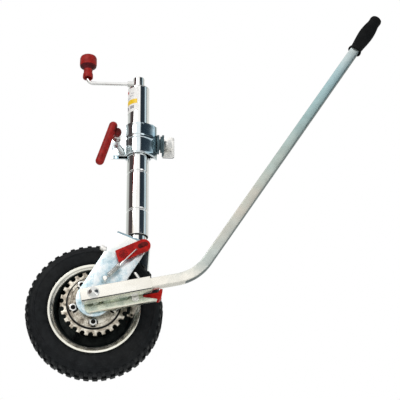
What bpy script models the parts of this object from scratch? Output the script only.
"""Trailer tongue jack: a telescoping jockey wheel with a ratchet lever that drives its pneumatic wheel.

The jack is drawn in its own frame, in metres: the tube's axis is X = Y = 0, the ground is Z = 0, the wheel
trails towards -X, and the ratchet lever is on the -Y side. An empty then moves the whole jack so that the
origin is the point where the bracket's flange meets the drawbar.
"""

import math

import bmesh
import bpy
from mathutils import Matrix, Vector

MM = 0.001
GAP = 0.3 * MM  # running and seating gap that two neighbouring pieces keep

# Driving dimensions of the jack
SEAT = Vector((88, 24, 648)) * MM  # the drawbar face of the bracket's flange
TUBE_RADIUS = 30 * MM
TUBE_BORE = 27 * MM
TUBE_LOW, TUBE_HIGH = 385 * MM, 835 * MM
INNER_RADIUS, INNER_BORE = 25 * MM, 22 * MM
INNER_HIGH = 795.7 * MM
SCREW_RADIUS = 8 * MM

AXLE = Vector((-107, 175)) * MM  # wheel axle, in X and Z
AXLE_RADIUS = 8 * MM
LEG_OUTSIDE, LEG_INSIDE = 104 * MM, 98 * MM
LEG_HALF_WIDTH = 44 * MM
LEG_ANGLE = math.radians(59)
CROWN_ANGLE = math.radians(-22.5)
CROWN_HIGH = Vector((0, 341)) * MM  # top of the crown plate on the tube's axis
CROWN_THICKNESS = 6 * MM

TOOTH_COUNT = 24
TOOTH_TIP = 84 * MM
TOOTH_GAP = 6.2 * MM  # half the width of a gap between two teeth, and the radius of its round foot
TOOTH_GAP_CENTRE = 81.2 * MM
FIRST_GAP = math.radians(-19)
RATCHET_NEAR, RATCHET_FAR = -74.7 * MM, -68.7 * MM
BOLT_CIRCLE = 53 * MM
HUB_BOLTS = 5

LEVER_ANGLE = math.radians(11.6)
LEVER_RISE = math.radians(56.2)
LEVER_Y = -137.5 * MM
SOCKET_SIZE, SOCKET_BORE = 33 * MM, 25.8 * MM
SOCKET_START, SOCKET_END = -31 * MM, 143 * MM
BAR_SIZE, BAR_BORE = 25 * MM, 20 * MM
BAR_START = -24 * MM
BEND_CORNER = Vector((146.5, 227)) * MM
BEND_RADIUS = 118 * MM
BAR_LENGTH = 925 * MM  # from the bend's corner to the bar's end
GRIP_START, GRIP_END = 808 * MM, 944 * MM

DRIVE_PIVOT = Vector((-5, 176)) * MM
DRIVE_PIN_RADIUS = 5 * MM
DRIVE_RELEASE = math.radians(16)  # the drive pawl is drawn in mesh, then turned back by this
DRIVE_SEAT = FIRST_GAP + math.radians(1)
BRAKE_PIVOT = Vector((13, 317)) * MM
BRAKE_RELEASE = math.radians(5)
BRAKE_SEAT = FIRST_GAP + math.radians(104)
PAWL_SEATED = 80.4 * MM  # radius of a seated pawl tip's centre
PAWL_TIP = 2.3 * MM
PAWL_NEAR, PAWL_FAR = -76 * MM, -68 * MM
BRAKE_HOOK = Vector((-4, 303)) * MM
BRAKE_POST = Vector((-80, 224)) * MM

THUMB_NEAR, THUMB_FAR = -116.9 * MM, -112.2 * MM
LEVER_PLATE_NEAR, LEVER_PLATE_FAR = -111 * MM, -106.3 * MM

CLAMP_LOW, CLAMP_HIGH = 622 * MM, 715 * MM
CLAMP_BORE, CLAMP_RADIUS = 31 * MM, 35.5 * MM
EAR_END = -74 * MM
EAR_HIGH = 685 * MM
FLANGE_END = 51.7 * MM
CLAMP_SCREW = Vector((-58, 655)) * MM
CLAMP_SCREW_RADIUS = 6 * MM
SWIVEL_Z = 664 * MM

KNOB_X = -145 * MM
CRANK_Z = 856 * MM
CRANK_ROD_RADIUS = 5 * MM

AXES = {"X": Vector((1, 0, 0)), "Y": Vector((0, 1, 0)), "Z": Vector((0, 0, 1))}

# colour, metallic, roughness
FINISHES = {
    "bright_zinc": ((0.78, 0.79, 0.80), 1.0, 0.12),
    "satin_zinc": ((0.72, 0.76, 0.79), 0.9, 0.32),
    "cast_steel": ((0.45, 0.44, 0.40), 0.9, 0.5),
    "dark_steel": ((0.12, 0.12, 0.12), 0.9, 0.45),
    "red_paint": ((0.55, 0.03, 0.03), 0.0, 0.35),
    "rubber": ((0.02, 0.02, 0.02), 0.0, 0.7),
    "bush_plastic": ((0.03, 0.03, 0.03), 0.0, 0.5),
    "brass": ((0.75, 0.55, 0.25), 1.0, 0.35),
    "label_film": ((0.9, 0.9, 0.88), 0.0, 0.4),
}


def finish(name):
    material = bpy.data.materials.get(name)
    if material:
        return material
    colour, metallic, roughness = FINISHES[name]
    material = bpy.data.materials.new(name)
    material.use_nodes = True
    shader = material.node_tree.nodes["Principled BSDF"]
    shader.inputs["Base Color"].default_value = (*colour, 1)
    shader.inputs["Metallic"].default_value = metallic
    shader.inputs["Roughness"].default_value = roughness
    return material


# Outlines, as lists of 2D points


def arc(centre, radius, start, end, steps):
    """Points on a circle from one angle to another, in degrees."""
    angles = [math.radians(start + (end - start) * i / steps) for i in range(steps + 1)]
    return [Vector(centre) + Vector((math.cos(a), math.sin(a))) * radius for a in angles]


def circle(centre, radius, steps=16):
    return arc(centre, radius, 0, 360 - 360 / steps, steps - 1)


def hexagon(centre, across_flats):
    return circle(centre, across_flats / 2 / math.cos(math.radians(30)), 6)


def rectangle(low, high):
    return [Vector(low), Vector((high[0], low[1])), Vector(high), Vector((low[0], high[1]))]


def link(centre_a, radius_a, centre_b, radius_b, steps=8):
    """The outline of a belt round two circles."""
    reach = centre_b - centre_a
    heading = math.degrees(math.atan2(reach.y, reach.x))
    lean = math.degrees(math.acos((radius_a - radius_b) / reach.length))
    round_a = arc(centre_a, radius_a, heading + lean, heading + 360 - lean, steps)
    round_b = arc(centre_b, radius_b, heading - lean, heading + lean, steps)
    return round_a + round_b


def heading(angle):
    return Vector((math.cos(angle), math.sin(angle)))


def left_of(direction):
    return Vector((-direction.y, direction.x))


def meet(point_a, along_a, point_b, along_b):
    """Where two lines in a plane cross."""
    across = left_of(along_b)
    return point_a + along_a * ((point_b - point_a).dot(across) / along_a.dot(across))


def swung(point, pivot, angle):
    """A point in X and Z, turned about a pivot by a right-handed angle about +Y."""
    x, z = point - pivot
    turned_x = x * math.cos(angle) + z * math.sin(angle)
    turned_z = z * math.cos(angle) - x * math.sin(angle)
    return pivot + Vector((turned_x, turned_z))


def pawl_points(seat, knee_radius, pivot, release):
    """A released pawl's knee and tip. Seated, the tip lies in a tooth gap, the knee outside the teeth."""
    places = (AXLE + heading(seat) * knee_radius, AXLE + heading(seat) * PAWL_SEATED)
    return [swung(place, pivot, release) for place in places]


def on_lever(along, above):
    """A point in X and Z from its place along the lever's socket and above the socket's centre line."""
    direction = heading(LEVER_ANGLE)
    return AXLE + direction * along + left_of(direction) * above


# Solids, as bmeshes in the jack's frame


def turned(profile, origin, direction, segments=24):
    """A closed profile of (radius, height) points, turned about a line through origin."""
    mesh = bmesh.new()
    rings = []
    for radius, height in profile:
        count = segments if radius > 0 else 1
        ring = []
        for i in range(count):
            angle = 2 * math.pi * i / segments
            ring.append(mesh.verts.new((radius * math.cos(angle), radius * math.sin(angle), height)))
        rings.append(ring)
    for low, high in zip(rings, rings[1:] + rings[:1]):
        if len(low) == 1 and len(high) == 1:
            continue
        for i in range(segments):
            j = (i + 1) % segments
            corners = (low[i % len(low)], low[j % len(low)], high[j % len(high)], high[i % len(high)])
            mesh.faces.new(dict.fromkeys(corners))
    turn = AXES["Z"].rotation_difference(Vector(direction)).to_matrix().to_4x4()
    mesh.transform(Matrix.Translation(origin) @ turn)
    bmesh.ops.recalc_face_normals(mesh, faces=mesh.faces)
    return mesh


def rod(radius, start, end, axis, place, segments=16):
    """A round rod along a row axis. place gives its other two coordinates."""
    origin = lift(place, start, axis)
    profile = [(0, 0), (radius, 0), (radius, end - start), (0, end - start)]
    return turned(profile, origin, AXES[axis], segments)


def ring(bore, radius, start, end, axis, place, segments=24):
    profile = [(bore, 0), (radius, 0), (radius, end - start), (bore, end - start)]
    return turned(profile, lift(place, start, axis), AXES[axis], segments)


def lift(point, level, axis):
    """A 2D point of the plane across an axis, at a level along that axis."""
    a, b = point
    return Vector({"X": (level, a, b), "Y": (a, level, b), "Z": (a, b, level)}[axis])


def plate(outline, low, high, axis, holes=()):
    """A flat sheet: an outline with holes, extruded along a row axis."""
    mesh = bmesh.new()
    for loop in (outline, *holes):
        verts = [mesh.verts.new(lift(point, low, axis)) for point in loop]
        for a, b in zip(verts, verts[1:] + verts[:1]):
            mesh.edges.new((a, b))
    bmesh.ops.triangle_fill(mesh, use_beauty=True, use_dissolve=False, edges=mesh.edges)
    extruded = bmesh.ops.extrude_face_region(mesh, geom=mesh.faces)
    moved = [item for item in extruded["geom"] if isinstance(item, bmesh.types.BMVert)]
    bmesh.ops.translate(mesh, verts=moved, vec=AXES[axis] * (high - low))
    bmesh.ops.recalc_face_normals(mesh, faces=mesh.faces)
    return mesh


def box(low, high):
    mesh = bmesh.new()
    bmesh.ops.create_cube(mesh, size=1)
    low, high = Vector(low), Vector(high)
    for vert in mesh.verts:
        for i in range(3):
            vert.co[i] = high[i] if vert.co[i] > 0 else low[i]
    return mesh


def square_tube(route, y, size, bore):
    """A square tube along a route in X and Z, open at both ends."""
    mesh = bmesh.new()
    sections = []
    for i, point in enumerate(route):
        before, after = route[max(i - 1, 0)], route[min(i + 1, len(route) - 1)]
        up = left_of((after - before).normalized())
        section = []
        for half in (size / 2, bore / 2):
            corners = ((-half, -half), (half, -half), (half, half), (-half, half))
            for side, rise in corners:
                place = point + up * rise
                section.append(mesh.verts.new((place.x, y + side, place.y)))
        sections.append(section)
    for near, far in zip(sections, sections[1:]):
        for i in range(4):
            j = (i + 1) % 4
            mesh.faces.new((near[i], near[j], far[j], far[i]))
            mesh.faces.new((near[4 + j], near[4 + i], far[4 + i], far[4 + j]))
    for section in (sections[0], sections[-1]):
        for i in range(4):
            j = (i + 1) % 4
            mesh.faces.new((section[i], section[j], section[4 + j], section[4 + i]))
    bmesh.ops.recalc_face_normals(mesh, faces=mesh.faces)
    return mesh


def coil(start, end, radius, turns, steps=9):
    """Points along a helix between two points."""
    reach = end - start
    along = reach.normalized()
    across = along.cross(AXES["Y"] if abs(along.y) < 0.9 else AXES["Z"]).normalized()
    third = along.cross(across)
    points = []
    for i in range(turns * steps + 1):
        angle = 2 * math.pi * i / steps
        around = across * math.cos(angle) + third * math.sin(angle)
        points.append(start + reach * (i / (turns * steps)) + around * radius)
    return points


# Objects


class Jack:
    """The empties that stand on the joints' axes, and the named objects that hang on them."""

    def __init__(self):
        self.origins = {"jack": Vector()}
        self.empties = {"jack": bpy.data.objects.new("jack_frame", None)}
        bpy.context.scene.collection.objects.link(self.empties["jack"])
        self.empties["jack"].location = -SEAT

    def pivot(self, name, origin, parent="jack"):
        """An empty on a joint's axis, at a point of the jack's frame."""
        empty = bpy.data.objects.new(name + "_axis", None)
        bpy.context.scene.collection.objects.link(empty)
        empty.parent = self.empties[parent]
        empty.location = Vector(origin) - self.origins[parent]
        self.origins[name] = Vector(origin)
        self.empties[name] = empty

    def link(self, name, data, on):
        thing = bpy.data.objects.new(name, data)
        bpy.context.scene.collection.objects.link(thing)
        thing.parent = self.empties[on]
        return thing

    def add(self, name, mesh, look, on):
        """A named solid with its origin on its pivot."""
        mesh.transform(Matrix.Translation(-self.origins[on]))
        data = bpy.data.meshes.new(name)
        mesh.to_mesh(data)
        mesh.free()
        if look:
            data.materials.append(finish(look))
        data.shade_smooth()
        data.set_sharp_from_angle(angle=math.radians(35))
        return self.link(name, data, on)

    def wire(self, name, points, radius, look, on):
        """A round wire along points of the jack's frame."""
        data = bpy.data.curves.new(name, "CURVE")
        data.dimensions = "3D"
        data.bevel_depth = radius
        data.bevel_resolution = 0
        data.use_fill_caps = True
        data.materials.append(finish(look))
        spline = data.splines.new("POLY")
        spline.points.add(len(points) - 1)
        for point, place in zip(spline.points, points):
            point.co = (*(place - self.origins[on]), 1)
        return self.link(name, data, on)

    def boolean(self, thing, mesh, operation):
        """Cuts a hidden helper from an object, or joins it on."""
        helper = self.add(f"{thing.name}_helper_{len(thing.modifiers)}", mesh, None, "jack")
        helper.hide_render = True
        helper.display_type = "WIRE"
        modifier = thing.modifiers.new("boolean", "BOOLEAN")
        modifier.operation = operation
        modifier.solver = "EXACT"
        modifier.object = helper

    def cut(self, thing, mesh):
        self.boolean(thing, mesh, "DIFFERENCE")

    def join(self, thing, mesh):
        self.boolean(thing, mesh, "UNION")


def make_pivots(jack):
    axle = lift(AXLE, 0, "Y")
    jack.pivot("swivel", (0.06, 0, SWIVEL_Z))
    jack.pivot("clamp_screw", lift(CLAMP_SCREW, 0, "Y"), "swivel")
    jack.pivot("tube", (0, 0, TUBE_LOW), "swivel")
    jack.pivot("crank", (0, 0, CRANK_Z), "tube")
    jack.pivot("knob", (KNOB_X, 0, CRANK_Z), "crank")
    jack.pivot("carrier", (0, 0, INNER_HIGH), "tube")
    jack.pivot("fork", (0, 0, CROWN_HIGH.y), "carrier")
    jack.pivot("wheel", axle, "fork")
    jack.pivot("brake_pawl", lift(BRAKE_PIVOT, 0, "Y"), "fork")
    jack.pivot("lever", axle, "fork")
    jack.pivot("drive_pawl", lift(DRIVE_PIVOT, 0, "Y"), "lever")
    jack.pivot("bar", lift(on_lever(BAR_START, 0), LEVER_Y, "Y"), "lever")


# Bracket and swivel


def make_bracket(jack):
    """An angle bracket: its round web carries the swivel pin, and its flange bolts to the drawbar."""
    web_low, web_high = 66 * MM, 71 * MM
    flange_low, flange_high = 634 * MM, 698 * MM
    flange_end = 101 * MM
    corner = 6 * MM
    lower = arc((flange_end - corner, flange_low + corner), corner, -90, 0, 4)
    upper = arc((flange_end - corner, flange_high - corner), corner, 0, 90, 4)
    outline = [Vector((68 * MM, flange_low)), *lower, *upper, Vector((68 * MM, flange_high))]
    bolt_hole = circle((88 * MM, 676 * MM), 7 * MM, 48)
    flange = plate(outline, 19 * MM, SEAT.y, "Y", [bolt_hole])
    bracket = jack.add("mount_bracket", flange, "satin_zinc", "jack")
    web_outline = arc((0, SWIVEL_Z), 27 * MM, 90, 270, 16)
    web_outline += rectangle((22 * MM, SWIVEL_Z - 27 * MM), (22 * MM, SWIVEL_Z + 27 * MM))[1:3]
    holes = [circle((0, SWIVEL_Z), SCREW_RADIUS + GAP, 20)]
    for turn in range(4):
        place = Vector((0, SWIVEL_Z)) + heading(math.radians(45 + 90 * turn)) * 19 * MM
        holes.append(circle(place, 3.2 * MM, 10))
    jack.join(bracket, plate(web_outline, web_low, web_high, "X", holes))


def make_swivel(jack):
    """The plate on the clamp that turns against the bracket, with its pin, spring and nut."""
    axis = (0, SWIVEL_Z)
    pin_bore = SCREW_RADIUS + GAP
    profile = [(0, 52), (27, 52), (27, 58), (15, 58), (15, 65.7)]
    profile = [(radius * MM, reach * MM) for radius, reach in profile]
    profile += [(pin_bore, 65.7 * MM), (pin_bore, 58 * MM), (0, 58 * MM)]
    jack.add("swivel_plate", turned(profile, lift(axis, 0, "X"), AXES["X"], 32), "satin_zinc", "swivel")
    jack.add("swivel_pin", rod(SCREW_RADIUS, 58.3 * MM, 95 * MM, "X", axis, 20), "bright_zinc", "swivel")
    spring = coil(Vector((72.4 * MM, *axis)), Vector((81.4 * MM, *axis)), 10.2 * MM, 3)
    jack.wire("swivel_spring", spring, 1.1 * MM, "satin_zinc", "swivel")
    nut = plate(hexagon(axis, 24 * MM), 82.8 * MM, 92 * MM, "X", [circle(axis, pin_bore)])
    jack.add("swivel_nut", nut, "bright_zinc", "swivel")


# Clamp


def shell_outline(side):
    """One clamp shell's section: an ear, half a collar and a flange. side is -1 in front, 1 behind."""
    ear_in, ear_out = 8 * MM, 12 * MM
    flange_in, flange_out = GAP, 4.3 * MM
    angles = []
    for radius, ear, flange in ((CLAMP_RADIUS, ear_out, flange_out), (CLAMP_BORE, ear_in, flange_in)):
        start = 180 - math.degrees(math.asin(ear / radius))
        end = math.degrees(math.asin(flange / radius))
        angles.append((start, end))
    outer = arc((0, 0), CLAMP_RADIUS, *angles[0], 18)
    inner = arc((0, 0), CLAMP_BORE, *angles[1], 18)
    outline = [Vector((EAR_END, ear_out)), *outer, Vector((FLANGE_END, flange_out))]
    outline += [Vector((FLANGE_END, flange_in)), *reversed(inner), Vector((EAR_END, ear_in))]
    return [Vector((point.x, point.y * side)) for point in outline]


def make_clamp(jack):
    for name, side in (("clamp_front_shell", -1), ("clamp_rear_shell", 1)):
        shell = plate(shell_outline(side), CLAMP_LOW, CLAMP_HIGH, "Z")
        shell = jack.add(name, shell, "satin_zinc", "swivel")
        jack.cut(shell, box((-0.09, -0.05, EAR_HIGH), (-0.0362, 0.05, 0.75)))
        jack.cut(shell, ring(34.2 * MM, 38 * MM, 665 * MM, 671 * MM, "Z", (0, 0), 32))
        jack.cut(shell, rod(CLAMP_SCREW_RADIUS + GAP, -30 * MM, 30 * MM, "Y", CLAMP_SCREW))
    nut_holes = [circle(CLAMP_SCREW, CLAMP_SCREW_RADIUS + GAP)]
    nut = plate(hexagon(CLAMP_SCREW, 19 * MM), 12.3 * MM, 22 * MM, "Y", nut_holes)
    jack.add("clamp_nut", nut, "bright_zinc", "swivel")
    bore = CLAMP_SCREW_RADIUS + GAP
    sleeve = [(bore, -52 * MM), (13 * MM, -52 * MM), (13 * MM, -49 * MM), (9 * MM, -49 * MM)]
    sleeve += [(9 * MM, -12.3 * MM), (bore, -12.3 * MM)]
    flanged = turned(sleeve, lift(CLAMP_SCREW, 0, "Y"), AXES["Y"])
    jack.add("clamp_sleeve", flanged, "bright_zinc", "swivel")


def make_clamp_lever(jack):
    """The red tommy-bar lever: a round bar with a boss that drives the clamp screw."""
    bar_y, bar_radius = -90 * MM, 11.5 * MM
    top, bottom = Vector((-69, 671)) * MM, Vector((-102, 565)) * MM
    reach = bottom - top
    profile = [(0, -bar_radius)]
    for angle in (60, 30, 0):
        cap = math.radians(angle)
        profile.append((bar_radius * math.cos(cap), -bar_radius * math.sin(cap)))
    profile += [(radius, reach.length - height) for radius, height in reversed(profile)]
    bar = turned(profile, lift(top, bar_y, "Y"), lift(reach, 0, "Y").normalized(), 20)
    lever = jack.add("clamp_lever", bar, "red_paint", "clamp_screw")
    boss = [(0, 0), (14 * MM, 0), (11.5 * MM, 37.5 * MM), (0, 37.5 * MM)]
    jack.join(lever, turned(boss, lift(CLAMP_SCREW, bar_y, "Y"), AXES["Y"], 20))
    jack.cut(lever, rod(CLAMP_SCREW_RADIUS + GAP, -85 * MM, -50 * MM, "Y", CLAMP_SCREW))
    screw = rod(CLAMP_SCREW_RADIUS, -84.5 * MM, 31 * MM, "Y", CLAMP_SCREW)
    jack.add("clamp_screw", screw, "bright_zinc", "clamp_screw")


# Tubes, screw and crank


def make_outer_tube(jack):
    profile = [(TUBE_BORE, 0), (TUBE_RADIUS, 0)]
    for groove in (457 * MM, 570 * MM):
        middle = groove - TUBE_LOW
        profile += [(TUBE_RADIUS, middle - 4 * MM), (TUBE_RADIUS - 1.2 * MM, middle - 1.5 * MM)]
        profile += [(TUBE_RADIUS - 1.2 * MM, middle + 1.5 * MM), (TUBE_RADIUS, middle + 4 * MM)]
    height = TUBE_HIGH - TUBE_LOW
    profile += [(TUBE_RADIUS, height), (TUBE_BORE, height)]
    jack.add("outer_tube", turned(profile, (0, 0, TUBE_LOW), AXES["Z"], 32), "bright_zinc", "tube")
    bore = SCREW_RADIUS + GAP
    cap = [(bore, -10 * MM), (TUBE_BORE - GAP, -10 * MM), (TUBE_BORE - GAP, GAP), (TUBE_RADIUS, GAP)]
    cap += [(TUBE_RADIUS, 2.5 * MM), (bore, 2.5 * MM)]
    jack.add("top_cap", turned(cap, (0, 0, TUBE_HIGH), AXES["Z"], 32), "bright_zinc", "tube")
    bearing = ring(bore, 20 * MM, 816.7 * MM, 824.7 * MM, "Z", (0, 0))
    jack.add("thrust_bearing", bearing, "dark_steel", "tube")
    bush_bore = INNER_RADIUS + GAP
    bush = [(bush_bore, -4 * MM), (TUBE_RADIUS, -4 * MM), (TUBE_RADIUS, -GAP), (TUBE_BORE - GAP, -GAP)]
    bush += [(TUBE_BORE - GAP, 30 * MM), (bush_bore, 30 * MM)]
    jack.add("lower_bush", turned(bush, (0, 0, TUBE_LOW), AXES["Z"], 32), "bush_plastic", "tube")
    film_in, film_out = TUBE_RADIUS + 0.25 * MM, TUBE_RADIUS + 0.6 * MM
    film = arc((0, 0), film_out, 183, 268, 10) + arc((0, 0), film_in, 268, 183, 10)
    jack.add("label", plate(film, 765 * MM, 831 * MM, "Z"), "label_film", "tube")


def make_crank(jack):
    hub_radius, hub_low, hub_high = 16 * MM, TUBE_HIGH + 2.8 * MM, 873 * MM
    bore, bore_high = SCREW_RADIUS + GAP, 867 * MM
    profile = [(bore, hub_low), (hub_radius, hub_low), (hub_radius, hub_high - 4 * MM)]
    profile += [(hub_radius - 4 * MM, hub_high), (0, hub_high), (0, bore_high), (bore, bore_high)]
    hub = jack.add("crank_hub", turned(profile, (0, 0, 0), AXES["Z"], 28), "bright_zinc", "crank")
    jack.join(hub, rod(8.5 * MM, -32 * MM, -12 * MM, "X", (0, CRANK_Z), 20))
    jack.cut(hub, rod(CRANK_ROD_RADIUS + GAP, -34 * MM, -11 * MM, "X", (0, CRANK_Z)))
    pin_place, pin_radius = (0, 844 * MM), 2.5 * MM
    jack.cut(hub, rod(pin_radius + GAP, -18 * MM, 18 * MM, "Y", pin_place, 12))
    pin = rod(pin_radius, -15.8 * MM, 15.8 * MM, "Y", pin_place, 12)
    jack.add("crank_roll_pin", pin, "dark_steel", "crank")
    collar_low, collar_high = 806 * MM, 816.4 * MM
    screw = [(0, 430 * MM), (SCREW_RADIUS, 430 * MM), (SCREW_RADIUS, collar_low), (14 * MM, collar_low)]
    screw += [(14 * MM, collar_high), (SCREW_RADIUS, collar_high)]
    screw += [(SCREW_RADIUS, 866 * MM), (0, 866 * MM)]
    lead_screw = jack.add("lead_screw", turned(screw, (0, 0, 0), AXES["Z"], 20), "cast_steel", "crank")
    jack.cut(lead_screw, rod(pin_radius + GAP, -12 * MM, 12 * MM, "Y", pin_place, 12))
    bend = arc((KNOB_X + 16 * MM, CRANK_Z + 16 * MM), 16 * MM, 270, 180, 6)
    route = [Vector((-12 * MM, CRANK_Z)), *bend, Vector((KNOB_X, 935 * MM))]
    points = [lift(point, 0, "Y") for point in route]
    rod_wire = jack.wire("crank_rod", points, CRANK_ROD_RADIUS, "bright_zinc", "crank")
    rod_wire.data.bevel_resolution = 2
    bore, mouth = CRANK_ROD_RADIUS + GAP, 11.5 * MM
    knob = [(bore, 884), (mouth, 884), (mouth, 868), (12.5 * MM, 868), (14 * MM, 872), (14.5 * MM, 901)]
    knob += [(17 * MM, 908), (23 * MM, 911), (24 * MM, 915), (24 * MM, 942), (21 * MM, 948), (0, 950)]
    knob += [(0, 936), (bore, 936)]
    knob = [(radius, height * MM) for radius, height in knob]
    jack.add("crank_knob", turned(knob, (KNOB_X, 0, 0), AXES["Z"], 28), "red_paint", "knob")


def make_carrier(jack):
    bore = SCREW_RADIUS + GAP
    profile = [(bore, -20 * MM), (INNER_BORE - GAP, -20 * MM), (INNER_BORE - GAP, GAP)]
    profile += [(INNER_RADIUS - GAP, GAP), (INNER_RADIUS - GAP, 6 * MM), (bore, 6 * MM)]
    jack.add("drive_nut", turned(profile, (0, 0, INNER_HIGH), AXES["Z"], 24), "brass", "carrier")


# Fork, axle and wheel


def fork_outline():
    """A leg: a round foot about the axle, two straight edges, and the crown across the top."""
    along = heading(LEG_ANGLE)
    edge = left_of(along) * LEG_HALF_WIDTH
    crown = heading(CROWN_ANGLE)
    foot = arc(AXLE, LEG_HALF_WIDTH, math.degrees(LEG_ANGLE) + 90, math.degrees(LEG_ANGLE) + 270, 16)
    right = meet(AXLE - edge, along, CROWN_HIGH, crown)
    left = meet(AXLE + edge, along, CROWN_HIGH, crown)
    return [*foot, right, left]


def below_crown(drop):
    """A large outline whose top edge lies under the crown's top by a drop."""
    crown = heading(CROWN_ANGLE)
    top = CROWN_HIGH - left_of(crown) * drop
    reach, depth = 0.4, 0.5
    corners = [top + crown * reach, top - crown * reach]
    return corners + [corners[1] - left_of(crown) * depth, corners[0] - left_of(crown) * depth]


def make_fork(jack):
    fork = jack.add("fork", plate(fork_outline(), -LEG_OUTSIDE, LEG_OUTSIDE, "Y"), "satin_zinc", "fork")
    jack.cut(fork, plate(below_crown(CROWN_THICKNESS), -LEG_INSIDE, LEG_INSIDE, "Y"))
    jack.cut(fork, rod(AXLE_RADIUS + GAP, -0.12, 0.12, "Y", AXLE, 20))
    jack.cut(fork, rod(6 * MM + GAP, -0.12, -0.09, "Y", BRAKE_PIVOT, 16))
    tube = ring(INNER_BORE, INNER_RADIUS, 0.32, INNER_HIGH, "Z", (0, 0), 32)
    inner_tube = jack.add("inner_tube", tube, "bright_zinc", "fork")
    jack.cut(inner_tube, plate(below_crown(-GAP), -0.05, 0.05, "Y"))
    edge_out = left_of(heading(LEG_ANGLE))
    stud_height = Vector((0, 307 * MM))
    stud_base = meet(AXLE + edge_out * LEG_HALF_WIDTH, heading(LEG_ANGLE), stud_height, Vector((1, 0)))
    stud = [(0, 0), (6 * MM, 0), (6 * MM, 12 * MM), (4 * MM, 16 * MM), (0, 17 * MM)]
    base = lift(stud_base + edge_out * GAP, -LEG_OUTSIDE + 3 * MM, "Y")
    jack.add("stop_stud", turned(stud, base, lift(edge_out, 0, "Y"), 16), "bright_zinc", "fork")
    post = [(0, 0), (3.5, 0), (3.5, 17), (5.5, 17), (5.5, 21), (0, 21)]
    post = [(radius * MM, height * MM) for radius, height in post]
    base = lift(BRAKE_POST, -LEG_OUTSIDE - GAP, "Y")
    jack.add("brake_spring_post", turned(post, base, (0, -1, 0), 16), "bright_zinc", "fork")


def make_axle(jack):
    shank = rod(AXLE_RADIUS, -120.4 * MM, 108 * MM, "Y", AXLE, 20)
    bolt = jack.add("axle_bolt", shank, "bright_zinc", "fork")
    jack.join(bolt, plate(hexagon(AXLE, 27 * MM), 106.3 * MM, 116 * MM, "Y"))
    bore = AXLE_RADIUS + GAP
    nut = plate(hexagon(AXLE, 27 * MM), -119.6 * MM, -111.4 * MM, "Y", [circle(AXLE, bore, 20)])
    jack.add("axle_nut", nut, "bright_zinc", "fork")
    for name, start, end, radius in (
        ("axle_washer_near", -106.0, -104.3, 17),
        ("axle_washer_far", 104.3, 106.0, 17),
        ("axle_spacer_near", -97.7, -86.3, 12.5),
        ("axle_spacer_far", 60.3, 97.7, 12.5),
    ):
        jack.add(name, ring(bore, radius * MM, start * MM, end * MM, "Y", AXLE), "bright_zinc", "fork")


def bolt_centres():
    """The hub bolts' centres, in X and Z."""
    angles = [math.radians(360 * i / HUB_BOLTS - 90) for i in range(HUB_BOLTS)]
    return [AXLE + heading(angle) * BOLT_CIRCLE for angle in angles]


def tooth_outline():
    """A ratchet wheel with round-footed gaps between its teeth."""
    outline = []
    pitch = 2 * math.pi / TOOTH_COUNT
    shoulder = math.sqrt(TOOTH_TIP**2 - TOOTH_GAP**2)
    for i in range(TOOTH_COUNT):
        inward = heading(FIRST_GAP + i * pitch)
        side = left_of(inward)
        outline.append(AXLE + inward * shoulder - side * TOOTH_GAP)
        for step in range(5):
            angle = math.pi * step / 4
            foot = inward * (TOOTH_GAP_CENTRE - TOOTH_GAP * math.sin(angle))
            outline.append(AXLE + foot - side * TOOTH_GAP * math.cos(angle))
        outline.append(AXLE + inward * shoulder + side * TOOTH_GAP)
        outline.append(AXLE + heading(FIRST_GAP + (i + 0.5) * pitch) * TOOTH_TIP)
    return outline


def make_hub(jack):
    barrel, bearing_seat, bore = 26 * MM, 20.3 * MM, 12 * MM
    flange = 66 * MM
    profile = [(bearing_seat, -86), (barrel, -86), (barrel, -81), (flange, -81)]
    profile += [(flange, -75), (barrel, -75)]
    profile += [(barrel, 60), (bearing_seat, 60), (bearing_seat, 47.7), (bore, 47.7), (bore, -73.7)]
    profile += [(bearing_seat, -73.7)]
    profile = [(radius, height * MM) for radius, height in profile]
    hub = jack.add("wheel_hub", turned(profile, lift(AXLE, 0, "Y"), AXES["Y"], 32), "cast_steel", "wheel")
    holes = [circle(AXLE, barrel + GAP, 32)]
    holes += [circle(centre, 4.3 * MM, 10) for centre in bolt_centres()]
    ratchet = plate(tooth_outline(), RATCHET_NEAR, RATCHET_FAR, "Y", holes)
    jack.add("ratchet_wheel", ratchet, "cast_steel", "wheel")
    drum = ring(58 * MM, 61 * MM, -68.4 * MM, -4.2 * MM, "Y", AXLE, 32)
    jack.add("hub_spacer", drum, "dark_steel", "wheel")
    for centre in bolt_centres():
        jack.cut(hub, rod(4.3 * MM, -84 * MM, -72 * MM, "Y", centre, 10))
    for i, centre in enumerate(bolt_centres()):
        shank = rod(4 * MM, -87 * MM, 3.4 * MM, "Y", centre, 10)
        bolt = jack.add(f"hub_bolt_{i + 1}", shank, "bright_zinc", "wheel")
        jack.join(bolt, plate(hexagon(centre, 18 * MM), -90 * MM, -81.3 * MM, "Y"))
        jack.cut(bolt, rod(5 * MM, -92 * MM, -85.5 * MM, "Y", centre, 12))
    for name, start in (("bearing_near", -85.9), ("bearing_far", 48.0)):
        bearing = ring(AXLE_RADIUS + GAP, 20 * MM, start * MM, (start + 11.9) * MM, "Y", AXLE)
        jack.add(name, bearing, "dark_steel", "wheel")


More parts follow.
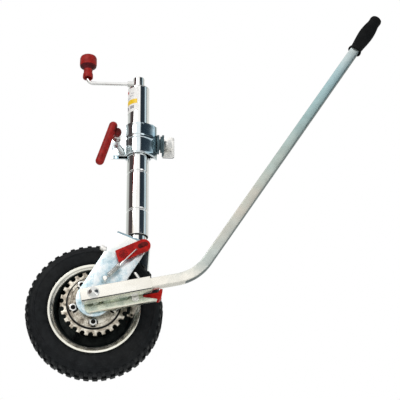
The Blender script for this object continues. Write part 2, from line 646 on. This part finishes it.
def make_rim_and_tyre(jack):
    """Two pressed rim halves, bolted back to back, and the tyre's carcass between their flanges."""
    half = [(26.3, 3.8), (93, 3.8), (95, 6), (95, 27), (102, 35.5), (117, 38.5)]
    half += [(117, 35), (104, 32.5), (98.3, 25.5), (98.3, 3.8), (96, 0.3), (26.3, 0.3)]
    for name, side in (("rim_near", -1), ("rim_far", 1)):
        profile = [(radius * MM, side * height * MM) for radius, height in half]
        rim = jack.add(name, turned(profile, lift(AXLE, 0, "Y"), AXES["Y"], 40), "bright_zinc", "wheel")
        for centre in bolt_centres():
            jack.cut(rim, rod(4.3 * MM, -10 * MM, 10 * MM, "Y", centre, 10))
    outside = [(99, 20), (105, 31.8), (118, 34.6), (126, 41)]
    outside += [(144, 42.5), (160, 40), (170, 31), (175, 12)]
    inside = [(166, 10), (158, 29), (138, 34.5), (122, 30), (106, 18)]
    profile = [(radius, -y) for radius, y in outside] + [(radius, y) for radius, y in reversed(outside)]
    profile += [(radius, y) for radius, y in reversed(inside)] + [(radius, -y) for radius, y in inside]
    profile = [(radius * MM, y * MM) for radius, y in profile]
    jack.add("tyre", turned(profile, lift(AXLE, 0, "Y"), AXES["Y"], 44), "rubber", "wheel")
    outward = heading(math.radians(236))
    stem = [(0, 0), (5.5 * MM, 0), (5 * MM, 6 * MM), (3.8 * MM, 10 * MM)]
    stem += [(3.8 * MM, 24 * MM), (0, 24 * MM)]
    base = lift(AXLE + outward * 94.2 * MM, -16 * MM, "Y")
    jack.add("valve_stem", turned(stem, base, -lift(outward, 0, "Y"), 12), "rubber", "wheel")


# Holding pawl on the fork


def make_brake_pawl(jack):
    """A red thumb plate outside the leg, a shaft through it, and a finger that drops into the teeth."""
    shaft_radius = 6 * MM
    shaft_hole = circle(BRAKE_PIVOT, shaft_radius + GAP)
    hook_hole = circle(BRAKE_HOOK, 2 * MM, 8)
    right = arc(Vector((15, 315)) * MM, 17.5 * MM, -72, 110, 10)
    outline = [Vector((-47, 269)) * MM, *right, Vector((-57, 300)) * MM]
    thumb = plate(outline, THUMB_NEAR, THUMB_FAR, "Y", [shaft_hole, hook_hole])
    jack.add("brake_thumb_lever", thumb, "red_paint", "brake_pawl")
    shaft = rod(shaft_radius, THUMB_NEAR - 2.5 * MM, -66 * MM, "Y", BRAKE_PIVOT)
    jack.add("brake_shaft", shaft, "dark_steel", "brake_pawl")
    knee_radius, knee_size = 95 * MM, 5 * MM
    knee, tip = pawl_points(BRAKE_SEAT, knee_radius, BRAKE_PIVOT, BRAKE_RELEASE)
    arm = plate(link(BRAKE_PIVOT, 9.5 * MM, knee, knee_size), PAWL_NEAR, PAWL_FAR, "Y", [shaft_hole])
    finger = jack.add("brake_finger", arm, "dark_steel", "brake_pawl")
    jack.join(finger, plate(link(knee, knee_size, tip, PAWL_TIP), PAWL_NEAR, PAWL_FAR, "Y"))
    make_brake_spring(jack)


def make_brake_spring(jack):
    """A straight wire from the thumb plate that ends in a coil at the post on the leg."""
    level = THUMB_NEAR - 2.6 * MM
    coil_length, tail = 39 * MM, 11 * MM
    hook, post = lift(BRAKE_HOOK, level, "Y"), lift(BRAKE_POST, level, "Y")
    along = (post - hook).normalized()
    coil_end = post - along * tail
    coil_start = coil_end - along * coil_length
    points = [hook + Vector((0, 4 * MM, 0)), hook, coil_start - along * 4 * MM]
    points += coil(coil_start, coil_end, 5.6 * MM, 11) + [post - along * 5 * MM]
    jack.wire("brake_spring", points, 0.8 * MM, "bright_zinc", "fork")


# Ratchet lever


def make_lever(jack):
    route = [on_lever(SOCKET_START, 0), on_lever(SOCKET_END, 0)]
    socket = square_tube(route, LEVER_Y, SOCKET_SIZE, SOCKET_BORE)
    socket = jack.add("lever_socket", socket, "satin_zinc", "lever")
    face = LEVER_Y - SOCKET_SIZE / 2
    stem = 5 * MM
    jack.cut(socket, rod(stem + GAP, face - 5 * MM, face + 8 * MM, "Y", AXLE))
    cap = [(0, 3 * MM), (stem, 3 * MM), (stem, -GAP), (14.5 * MM, -GAP), (14 * MM, -3 * MM)]
    cap += [(10 * MM, -6 * MM), (0, -7.5 * MM)]
    jack.add("lever_pivot_cap", turned(cap, lift(AXLE, face, "Y"), AXES["Y"]), "bright_zinc", "lever")
    make_lever_bracket(jack)


def make_lever_bracket(jack):
    """The plate behind the socket, with a packing block between the two and a peg on its upper edge."""
    outline = [(-26, 16), (-26, -37), (150, -37), (154, -31), (120, -20), (120, 16), (134, 16), (134, 20)]
    outline += [(130, 21.2), (114, 21.2), (108, 16)]
    outline = [on_lever(along * MM, above * MM) for along, above in outline]
    holes = [circle(AXLE, AXLE_RADIUS + GAP, 20), circle(DRIVE_PIVOT, DRIVE_PIN_RADIUS + GAP)]
    bracket = plate(outline, LEVER_PLATE_NEAR, LEVER_PLATE_FAR, "Y", holes)
    bracket = jack.add("lever_bracket", bracket, "satin_zinc", "lever")
    corners = ((22, -14), (84, -14), (84, 14), (22, 14))
    packing = [on_lever(along * MM, above * MM) for along, above in corners]
    socket_back = LEVER_Y + SOCKET_SIZE / 2 + 0.4 * MM
    jack.join(bracket, plate(packing, socket_back, LEVER_PLATE_NEAR + 2 * MM, "Y"))
    length, lean = 26 * MM, Vector((-0.55, 0, 0.83))
    profile = [(0, 0), (3.5 * MM, 0), (2.6 * MM, length), (0, length)]
    start = lift(on_lever(122 * MM, 24.4 * MM), -108.4 * MM, "Y")
    jack.add("lever_peg", turned(profile, start, lean, 14), "bright_zinc", "lever")


def make_drive_pawl(jack):
    """The pawl that drives the wheel: a hooked finger, a tail with a red pedal, its pin and its spring."""
    knee_radius, knee_size = 90 * MM, 4.4 * MM
    knee, tip = pawl_points(DRIVE_SEAT, knee_radius, DRIVE_PIVOT, -DRIVE_RELEASE)
    pin_hole = circle(DRIVE_PIVOT, DRIVE_PIN_RADIUS + GAP)
    arm = plate(link(DRIVE_PIVOT, 10 * MM, knee, knee_size), PAWL_NEAR, PAWL_FAR, "Y", [pin_hole])
    pawl = jack.add("drive_pawl", arm, "cast_steel", "drive_pawl")
    jack.join(pawl, plate(link(knee, knee_size, tip, PAWL_TIP), PAWL_NEAR, PAWL_FAR, "Y"))
    tail_start, tail_end = DRIVE_PIVOT + Vector((14, 4)) * MM, Vector((34, 190)) * MM
    tail = link(tail_start, 8 * MM, tail_end, 7 * MM, 6)
    jack.join(pawl, plate(tail, PAWL_NEAR + 1 * MM, PAWL_FAR - 1 * MM, "Y"))
    corners = ((12, 189), (54, 177), (60, 182), (64, 206), (58, 207), (52, 197))
    tab = [Vector(point) * MM for point in corners]
    jack.add("drive_pawl_tab", plate(tab, -97 * MM, PAWL_NEAR - 0.6 * MM, "Y"), "red_paint", "drive_pawl")
    head_near, pin_far = LEVER_PLATE_NEAR - 4.4 * MM, -64.4 * MM
    pin = rod(DRIVE_PIN_RADIUS, head_near, pin_far, "Y", DRIVE_PIVOT)
    pin = jack.add("drive_pawl_pin", pin, "bright_zinc", "lever")
    jack.join(pin, rod(9 * MM, head_near, LEVER_PLATE_NEAR - GAP, "Y", DRIVE_PIVOT))
    make_drive_spring(jack)


def make_drive_spring(jack):
    """A torsion spring round the pawl's pin. One leg bears on the pedal, the other on the bracket."""
    wire_radius, coil_radius = 0.8 * MM, 7 * MM
    start, end = lift(DRIVE_PIVOT, -96 * MM, "Y"), lift(DRIVE_PIVOT, -84 * MM, "Y")
    turns = coil(start, end, coil_radius, 5)
    pedal_leg = lift(Vector((10.8, 187.4)) * MM, -84 * MM, "Y")
    bracket_leg = lift(DRIVE_PIVOT + Vector((16, -6)) * MM, -104.6 * MM, "Y")
    jack.wire("drive_spring", [bracket_leg, *turns, pedal_leg], wire_radius, "bright_zinc", "drive_pawl")


def bar_route():
    """The bar's centre line: straight through the socket, round the bend, and straight up to the grip."""
    before, after = heading(LEVER_ANGLE), heading(LEVER_RISE)
    tangent = BEND_RADIUS * math.tan((LEVER_RISE - LEVER_ANGLE) / 2)
    centre = BEND_CORNER - before * tangent + left_of(before) * BEND_RADIUS
    bend = arc(centre, BEND_RADIUS, math.degrees(LEVER_ANGLE) - 90, math.degrees(LEVER_RISE) - 90, 9)
    return [on_lever(BAR_START, 0), *bend, BEND_CORNER + after * BAR_LENGTH]


def make_bar(jack):
    jack.add("lever_bar", square_tube(bar_route(), LEVER_Y, BAR_SIZE, BAR_BORE), "satin_zinc", "bar")
    length = GRIP_END - GRIP_START
    profile = [(0, 0), (19 * MM, 0), (19 * MM, 4 * MM), (17 * MM, 8 * MM), (17 * MM, length - 12 * MM)]
    profile += [(14 * MM, length - 4 * MM), (8 * MM, length), (0, length)]
    along = heading(LEVER_RISE)
    origin = lift(BEND_CORNER + along * GRIP_START, LEVER_Y, "Y")
    grip = jack.add("lever_grip", turned(profile, origin, lift(along, 0, "Y"), 24), "rubber", "bar")
    half = left_of(along) * (BAR_SIZE / 2 + GAP)
    low, high = BEND_CORNER + along * (GRIP_START - 0.01), BEND_CORNER + along * (BAR_LENGTH + 0.001)
    bore = [low - half, high - half, high + half, low + half]
    jack.cut(grip, plate(bore, LEVER_Y - BAR_SIZE / 2 - GAP, LEVER_Y + BAR_SIZE / 2 + GAP, "Y"))


def main():
    for thing in list(bpy.data.objects):
        bpy.data.objects.remove(thing)
    jack = Jack()
    make_pivots(jack)
    make_bracket(jack)
    make_swivel(jack)
    make_clamp(jack)
    make_clamp_lever(jack)
    make_outer_tube(jack)
    make_crank(jack)
    make_carrier(jack)
    make_fork(jack)
    make_axle(jack)
    make_hub(jack)
    make_rim_and_tyre(jack)
    make_brake_pawl(jack)
    make_lever(jack)
    make_drive_pawl(jack)
    make_bar(jack)


main()
